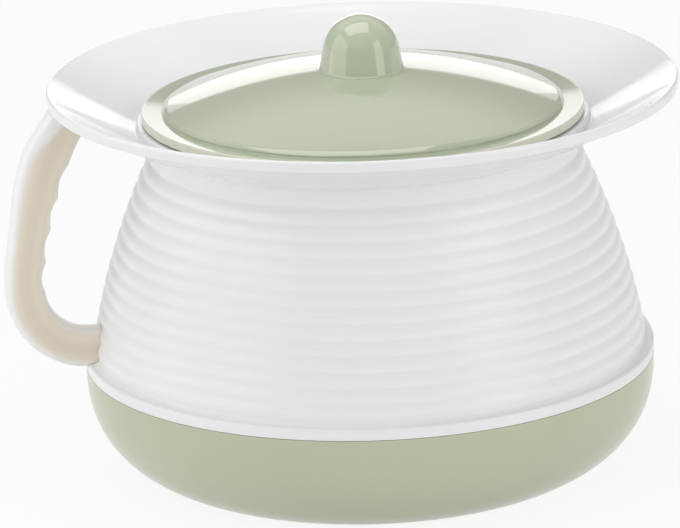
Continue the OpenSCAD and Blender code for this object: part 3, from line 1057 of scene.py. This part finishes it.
# %% Grow the handle
FINGERS = 4
FINGER_PITCH = 17 * MM
FINGER_DEPTH = 1.5 * MM
SQUARENESS = 3.6
SECTION_POINTS = 96
SHARP = math.radians(38)
SWELL = 3 * MM
SWELL_UP = (0.25, 0.66)
SWELL_DOWN = (0.68, 0.94)


def handle_tree(sizes, finish):
    tree, start, given = new_tree("grip", sizes)

    def squared(value):
        size = abs(value).power(2.0 / given["Squareness"])
        return start.math("SIGN", value) * size

    unit = {"Resolution": SECTION_POINTS, "Radius": 1.0}
    circle = start.add("GeometryNodeCurvePrimitiveCircle", inputs=unit)
    x, y, z = start.add("GeometryNodeInputPosition").axes()
    outward = squared(y)
    half_wide = squared(x) * given["Width"] * 0.5
    half_thick = outward * given["Thickness"] * 0.5
    oval = start.add("ShaderNodeCombineXYZ", inputs={"X": half_wide, "Y": half_thick})
    ring = store(circle, "outward", outward)
    section = start.add("GeometryNodeSetPosition", inputs={"Geometry": ring, "Position": oval})

    line = start.add("GeometryNodeMeshToCurve", inputs={"Mesh": given["Geometry"]})
    run = start.add("GeometryNodeSplineParameter", output="Length") - given["Grip start"]
    tx, ty, tz = start.add("GeometryNodeInputTangent").axes()
    away = start.add("ShaderNodeCombineXYZ", inputs={"X": tz * -1.0, "Z": tx})
    line = store(store(line, "run", run), "away", away, "FLOAT_VECTOR")
    sweep = {"Curve": line, "Profile Curve": section, "Fill Caps": True}
    bar = start.add("GeometryNodeCurveToMesh", inputs=sweep)

    fingers = named(start, "run") / given["Finger pitch"]
    wave = start.math("SINE", fingers * math.pi)
    begun = start.math("GREATER_THAN", fingers, 0.0)
    inside = begun * start.math("LESS_THAN", fingers, given["Fingers"])
    inner = start.math("MAXIMUM", named(start, "outward") * -1.0, 0.0)
    hollow = (wave * wave).power(0.5) * inside * inner
    bar = store(bar, "hollow", hollow)
    reach = named(start, "run") / given["Grip length"]
    outer = start.math("MAXIMUM", named(start, "outward"), 0.0)
    swell = reach.step(*SWELL_UP) * (1 - reach.step(*SWELL_DOWN)) * outer
    shift = hollow * given["Finger depth"] + swell * given["Swell"]
    away = named(start, "away", "FLOAT_VECTOR")
    push = start.add("ShaderNodeVectorMath", {"operation": "SCALE"}, {0: away, "Scale": shift})
    bar = start.add("GeometryNodeSetPosition", inputs={"Geometry": bar, "Offset": push})

    exact = {"operation": "DIFFERENCE", "solver": "EXACT"}
    cut = start.add("GeometryNodeMeshBoolean", exact, {"Mesh 1": bar})
    for label in cutters:
        space = start.add("GeometryNodeObjectInfo", inputs={"Object": given[label]}, output="Geometry")
        tree.links.new(space.socket, cut.socket.node.inputs["Mesh 2"])
    end_tree(tree, cut, finish)
    return tree


grip_sizes = {"Width": GRIP_W, "Thickness": GRIP_T, "Squareness": SQUARENESS, "Grip start": grip_start}
grip_sizes |= {"Fingers": float(FINGERS), "Finger pitch": FINGER_PITCH, "Finger depth": FINGER_DEPTH}
grip_sizes |= {"Grip length": path_length - grip_start, "Swell": SWELL} | cutters
handle = grown(handle, handle_tree(grip_sizes, handle_finish()), grip_sizes)
for cutter in cutters.values():
    bpy.data.objects.remove(cutter)
handle.data.shade_smooth()
handle = even_normals(handle, SHARP)
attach(handle, "pot")
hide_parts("handle")
print("handle", len(handle.data.polygons), "faces")

# %% [markdown]
# ## The lid
#
# The lid is a thin shell: a low dome with a rolled shoulder, a step down to a flat ring, a turned-down
# lip, a foot that rests on the collar and a skirt that drops into the mouth. The dome is a formula, since
# a corner list would show in its reflections. The hole for the knob's screw is on the axis, so the
# section is a ring and needs no cutting.

# %% Lid
LID_T = 2.6 * MM
LID_EDGE_H = 4 * MM
LID_GAP = 0.8 * MM
LID_RING_W = 10 * MM
LID_RING_RISE = 0.8 * MM
LID_STEP_H = 2 * MM
LID_BOW = 2.4 * MM
SHOULDER_W = 3 * MM
SHOULDER_R = 5.5 * MM
SHOULDER_STEPS = 12
LID_ROUND = 0.7 * MM
STEP_EDGE = 0.25 * MM
SEAT_CLEAR = 1 * MM
LID_FOOT_W = 2.7 * MM
LID_PLAY = 1 * MM
KNOB_LEDGE = 1.8 * MM
SCREW_R = 2 * MM
DOME_STEPS = 48

lid_low, lid_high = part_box("lid")
knob_low, knob_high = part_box("knob")
lid_r = lid_high.x
seat_z = lid_high.z
knob_r = knob_high.x
lip_z = collar_z + LID_GAP
ring_z = lip_z + LID_EDGE_H
ring_low = ring_z - LID_RING_RISE
step_z = ring_low + LID_STEP_H
dome_r = lid_r - LID_RING_W
seat_r = knob_r + KNOB_LEDGE
lid_foot_r = mouth_r + COLLAR_ROUND + LID_FOOT_W
lid_skirt_r = mouth_r - LID_PLAY
hole_r = SCREW_R + FIT


def dome(r):
    """Height of the dome at a radius. It rolls off over its shoulder."""
    u = (r - seat_r) / (dome_r - seat_r)
    over = max(r - dome_r + SHOULDER_W, 0)
    roll = SHOULDER_R - math.sqrt(SHOULDER_R**2 - over**2)
    return seat_z - (seat_z - step_z) * u + LID_BOW * 4 * u * (1 - u) - roll


dome_line = evenly(seat_r + SEAT_CLEAR, dome_r - SHOULDER_W, DOME_STEPS)
dome_line += evenly(dome_r - SHOULDER_W, dome_r - EASED, SHOULDER_STEPS)[1:]
under_z = ring_low - LID_T
lid_section = [(hole_r, seat_z, 0), (seat_r, seat_z, FINE)] + [(r, dome(r), 0) for r in dome_line]
lid_section += [(dome_r, dome(dome_r), STEP_EDGE), (dome_r, ring_low, EASED), (lid_r, ring_z, LID_ROUND)]
lid_section += [(lid_r, lip_z, EASED), (lid_r - LID_T, lip_z, EASED), (lid_r - LID_T, under_z, 0)]
lid_section += [(lid_foot_r, under_z, 0), (lid_foot_r, collar_z, FINE), (lid_skirt_r, collar_z, 0)]
lid_section += [(lid_skirt_r, lid_low.z, SOFT), (lid_skirt_r - LID_T, lid_low.z, SOFT)]
lid_section += [(r, dome(r) - LID_T, 0) for r in evenly(lid_skirt_r - LID_T, seat_r, DOME_STEPS)]
lid_section += [(hole_r, seat_z - LID_T, 0)]
lid_green = lid_finish(lid_r)
lid = even_normals(turned("domed_lid", rounded(lid_section)))
lid.data.materials.append(lid_green)
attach(lid, "cover")
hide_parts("lid")
print("lid", len(lid.data.polygons), "faces,", round(2 * lid_r / MM, 1), "mm across")

# %% [markdown]
# ## The knob
#
# The knob is a hollow bullet: a slightly tapered side that runs into a round top without a break, and a
# foot that flares out to the lid. Inside it has a boss with a blind hole for the screw. A sphere and a
# cone could be joined for it, but one section has no seam between them. It starts and ends on the axis.

# %% Knob
KNOB_TOP_R = 18.4 * MM
KNOB_T = 2.6 * MM
KNOB_FLARE = 1.4 * MM
KNOB_FILLET = 0.76 * MM
KNOB_EDGE = 0.15 * MM
BOSS_R = 5.5 * MM
SCREW_LEN = 14 * MM
KNOB_STEPS = 40

knob_centre = knob_high.z - KNOB_TOP_R
knob_foot_r = knob_r + KNOB_FLARE
flare_z = seat_z + KNOB_EDGE
pilot_r = SCREW_R + FIT / 2
pilot_z = seat_z - LID_T + SCREW_LEN + FIT
taper = math.atan((knob_r - KNOB_TOP_R) / (knob_centre - seat_z))


def knob_round(r, first, last):
    """An arc about the centre of the knob's round top."""
    turns = evenly(first, last, KNOB_STEPS)
    return [(r * math.cos(a), knob_centre + r * math.sin(a), 0) for a in turns]


knob_section = [(0, pilot_z, 0), (pilot_r, pilot_z, 0), (pilot_r, seat_z, FINE), (BOSS_R, seat_z, FINE)]
knob_section += knob_round(KNOB_TOP_R - KNOB_T, math.acos(BOSS_R / (KNOB_TOP_R - KNOB_T)), 0)
knob_section += [(knob_r - KNOB_T, seat_z, 0), (knob_foot_r, seat_z, 0)]
knob_section += [(knob_foot_r, flare_z, 0), (knob_r, flare_z, KNOB_FILLET)]
knob_section += knob_round(KNOB_TOP_R, taper, math.pi / 2)[:-1] + [(0, knob_high.z, 0)]
knob = even_normals(turned("lid_knob", rounded(knob_section)))
knob.data.materials.append(lid_green)
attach(knob, "cover")
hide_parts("knob")
print("knob", len(knob.data.polygons), "faces")

# %% [markdown]
# ## The knob's screw
#
# The screw sits under the lid and is seen only when the lid is lifted and turned over. Its thread is the
# groove tree again, this time with a twist of one. Its head has a cross recess, cut with a Boolean,
# because a recess belongs to no turned section. The cutter is one cross and not two bars: where two
# bars overlap, their common faces can leave open edges.

# %% Screw
SCREW_STEPS = 48
SCREW_CHAMFER = 0.8 * MM
THREAD_PITCH = 1.6 * MM
THREAD_DEPTH = 0.45 * MM
THREAD_SOFTNESS = 0.002
THREAD_RINGS = 90
THREAD_CLEAR = 1 * MM
RECESS_LONG = 4.6 * MM
RECESS_WIDE = 0.9 * MM
RECESS_DEEP = 1.3 * MM

screw_low, screw_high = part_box("knob_screw")
head_r = screw_high.x
head_z = seat_z - LID_T
tip_z = screw_high.z - SCREW_R
head = [(0, screw_low.z, 0), (head_r, screw_low.z, SCREW_CHAMFER)]
head += [(head_r, head_z, CRISP), (SCREW_R, head_z, 0)]
head_line = rounded(head)
thread_line = [Vector((SCREW_R, z)) for z in evenly(head_z + THREAD_CLEAR, tip_z, THREAD_RINGS)]
screw_line = head_line + thread_line + [Vector((0, screw_high.z))]
threaded = [0.0] * len(head_line) + [1.0] * len(thread_line) + [0.0]
screw = turned("knob_fixing", screw_line, SCREW_STEPS, threaded)
thread_sizes = {"First groove": head_z, "Pitch": THREAD_PITCH, "Depth": THREAD_DEPTH}
thread_sizes |= {"Twist": 1.0, "Softness": THREAD_SOFTNESS}
screw = grown(screw, groove_tree("thread", thread_sizes, screw_finish()), thread_sizes)

tip = RECESS_LONG / 2
flank = RECESS_WIDE / 2
arm = [(tip, -flank), (tip, flank), (flank, flank)]
cross = [Matrix.Rotation(turn * math.pi / 2, 2) @ Vector(p) for turn in range(4) for p in arm]
count = len(cross)
corners = [(p.x, p.y, screw_low.z + way * RECESS_DEEP) for way in (-1, 1) for p in cross]
sides = [(i, (i + 1) % count, (i + 1) % count + count, i + count) for i in range(count)]
recess_mesh = bpy.data.meshes.new("recess")
recess_mesh.from_pydata(corners, [], [list(range(count)), list(range(count, 2 * count))] + sides)
recess = placed("recess", recess_mesh)
cut = screw.modifiers.new("recess", "BOOLEAN")
cut.object = recess
cut.solver = "EXACT"
screw = baked_down(screw)
bpy.data.objects.remove(recess)
screw = even_normals(screw, SHARP)
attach(screw, "cover")
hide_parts("knob_screw")
print("screw", len(screw.data.polygons), "faces")

# %% [markdown]
# ## The studio
#
# The pot stands on a white floor that runs out of sight. A floor that is only lit turns grey towards the
# back, so this one also glows: to the camera and in reflections it is white and keeps a tenth of the
# pot's shadow, and all other rays find plain matt paper.

# %% Floor
FLOOR_R = 30.0
FLOOR_T = 0.01
FLOOR_STEPS = 64
FLOOR_WHITE = 0.93
FLOOR_GLOW = 0.9
RAYS = ("Is Camera Ray", "Is Glossy Ray", "Is Transmission Ray")


def ray_kinds(start):
    """Signals that are 1 for rays from the camera, from reflections and through glass."""
    path = start.add("ShaderNodeLightPath").socket.node.outputs
    return [Signal(start.tree, path[label]) for label in RAYS]


sheet_corners = ((0, 0), (FLOOR_R, 0), (FLOOR_R, -FLOOR_T), (0, -FLOOR_T))
floor = turned("floor", [Vector(corner) for corner in sheet_corners], FLOOR_STEPS)
paper = bpy.data.materials.new("floor paper")
paper.use_nodes = True
paper.node_tree.nodes.clear()
start = Signal(paper.node_tree)
matt = start.add("ShaderNodeBsdfDiffuse", inputs={"Color": (FLOOR_WHITE,) * 3})
glow = start.add("ShaderNodeEmission", inputs={"Color": (1, 1, 1), "Strength": 1.0})
seen, glossy, through = ray_kinds(start)
direct = start.math("MINIMUM", seen + glossy + through, 1.0)
mixed = start.add("ShaderNodeMixShader", inputs={0: direct * FLOOR_GLOW, 1: matt, 2: glow})
sheet = paper.node_tree.nodes.new("ShaderNodeOutputMaterial")
start.feed(sheet.inputs["Surface"], mixed)
floor.data.materials.append(paper)
print("floor", 2 * FLOOR_R, "m across")

# %% [markdown]
# ## The room
#
# The world stands for the room, and it too looks different to each kind of ray. The camera sees plain
# white. A reflection sees a dim room with a low bright backdrop behind the pot and a lighter band of
# ceiling above it, which draw the bright and dark bands in the lid and the dish. Soft light comes from
# all round, and more of it from the front and right. An image of a studio could do the same, but a few
# steps on the direction of a ray are easy to move until the bands sit right.

# %% World
SKY = 0.385
FRONT_SKY = 0.92
FRONT = (0.5, -0.87, 0)
BACKDROP_TOP = math.sin(math.radians(16))
BACKDROP_SIDE = math.tan(math.radians(14.5))
BACKDROP_BLUR = 0.01
CEILING = [math.sin(math.radians(a)) for a in (22, 44, 50, 58)]
CEILING_BACK = (0.2, 0.5)


def towards(way, axis):
    """How far a direction runs along an axis of the studio."""
    inputs = {0: way, 1: studio @ Vector(axis)}
    return way.add("ShaderNodeVectorMath", {"operation": "DOT_PRODUCT"}, inputs, "Value")


world = bpy.data.worlds.new("studio")
bpy.context.scene.world = world
world.use_nodes = True
start = Signal(world.node_tree)
way = start.add("ShaderNodeTexCoord", output="Generated")
aside = towards(way, (1, 0, 0))
away = towards(way, (0, 1, 0))
front = towards(way, FRONT)
height = way.axes()[2]
diffuse = start.math("MAXIMUM", front, 0.0) * (1 - abs(height)) * FRONT_SKY + SKY
low = 1 - height.step(BACKDROP_TOP - BACKDROP_BLUR, BACKDROP_TOP + BACKDROP_BLUR)
behind = (away * BACKDROP_SIDE - abs(aside)).step(-BACKDROP_BLUR, BACKDROP_BLUR)
ceiling = height.step(*CEILING[:2]) * (1 - height.step(*CEILING[2:])) * away.step(*CEILING_BACK)
backdrop = (low * behind + ceiling) * (1 - SKY) + SKY
seen, glossy, through = ray_kinds(start)
mirrored = start.math("MINIMUM", glossy + through, 1.0)
strength = start.math("MAXIMUM", diffuse + mirrored * (backdrop - diffuse), seen)
background = world.node_tree.nodes["Background"]
start.feed(background.inputs["Color"], (1, 1, 1))
start.feed(background.inputs["Strength"], strength)
bpy.context.scene.view_settings.view_transform = "Standard"
print("world ready")

# %% [markdown]
# ## Soft boxes
#
# Large lamps give gloss its long soft highlights. A broad one on the left, a narrow one on the right and
# a low one behind light the pot from the sides, so its outline is brighter than its middle, and one
# overhead lights the lid and the dish. Each lamp is given by its size and by how bright its face is,
# because that is what a reflection shows. The camera doesn't see them.

# %% Lamps
SIDE_AT = 1.2
SIDE_TOP = 1.3
LEFT_SPAN = (-1.25, 0.25)
LEFT_RADIANCE = 1.32
RIGHT_SPAN = (-1.3, -0.5)
RIGHT_RADIANCE = 1.9
BACK_AT = 1.5
BACK_TOP = 0.61
BACK_RADIANCE = 0.7
OVERHEAD_AT = (-0.1, 0.024, 0.79)
OVERHEAD_SIZE = (0.606, 0.432)
OVERHEAD_RADIANCE = 2.3


def soft_box(name, centre, facing, wide, tall, radiance):
    """A rectangular lamp that the camera doesn't see. Its power follows from its size and radiance."""
    lamp = bpy.data.lights.new(name, "AREA")
    lamp.shape = "RECTANGLE"
    lamp.size = wide
    lamp.size_y = tall
    lamp.energy = radiance * math.pi * wide * tall
    box = bpy.data.objects.new(name, lamp)
    box.location = studio @ Vector(centre)
    box.rotation_mode = "QUATERNION"
    box.rotation_quaternion = (studio @ Vector(facing)).to_track_quat("-Z", "Y")
    box.visible_camera = False
    bpy.context.scene.collection.objects.link(box)
    return box


side_boxes = (("left", -1, LEFT_SPAN, LEFT_RADIANCE), ("right", 1, RIGHT_SPAN, RIGHT_RADIANCE))
for name, side, (near, far), radiance in side_boxes:
    middle = (side * SIDE_AT, (near + far) / 2, SIDE_TOP / 2)
    soft_box(name, middle, (-side, 0, 0), far - near, SIDE_TOP, radiance)
back_wide = 2 * BACK_AT * BACKDROP_SIDE
soft_box("back", (0, BACK_AT, BACK_TOP / 2), (0, -1, 0), back_wide, BACK_TOP, BACK_RADIANCE)
soft_box("overhead", OVERHEAD_AT, (0, 0, -1), *OVERHEAD_SIZE, OVERHEAD_RADIANCE)
print("lamps ready")
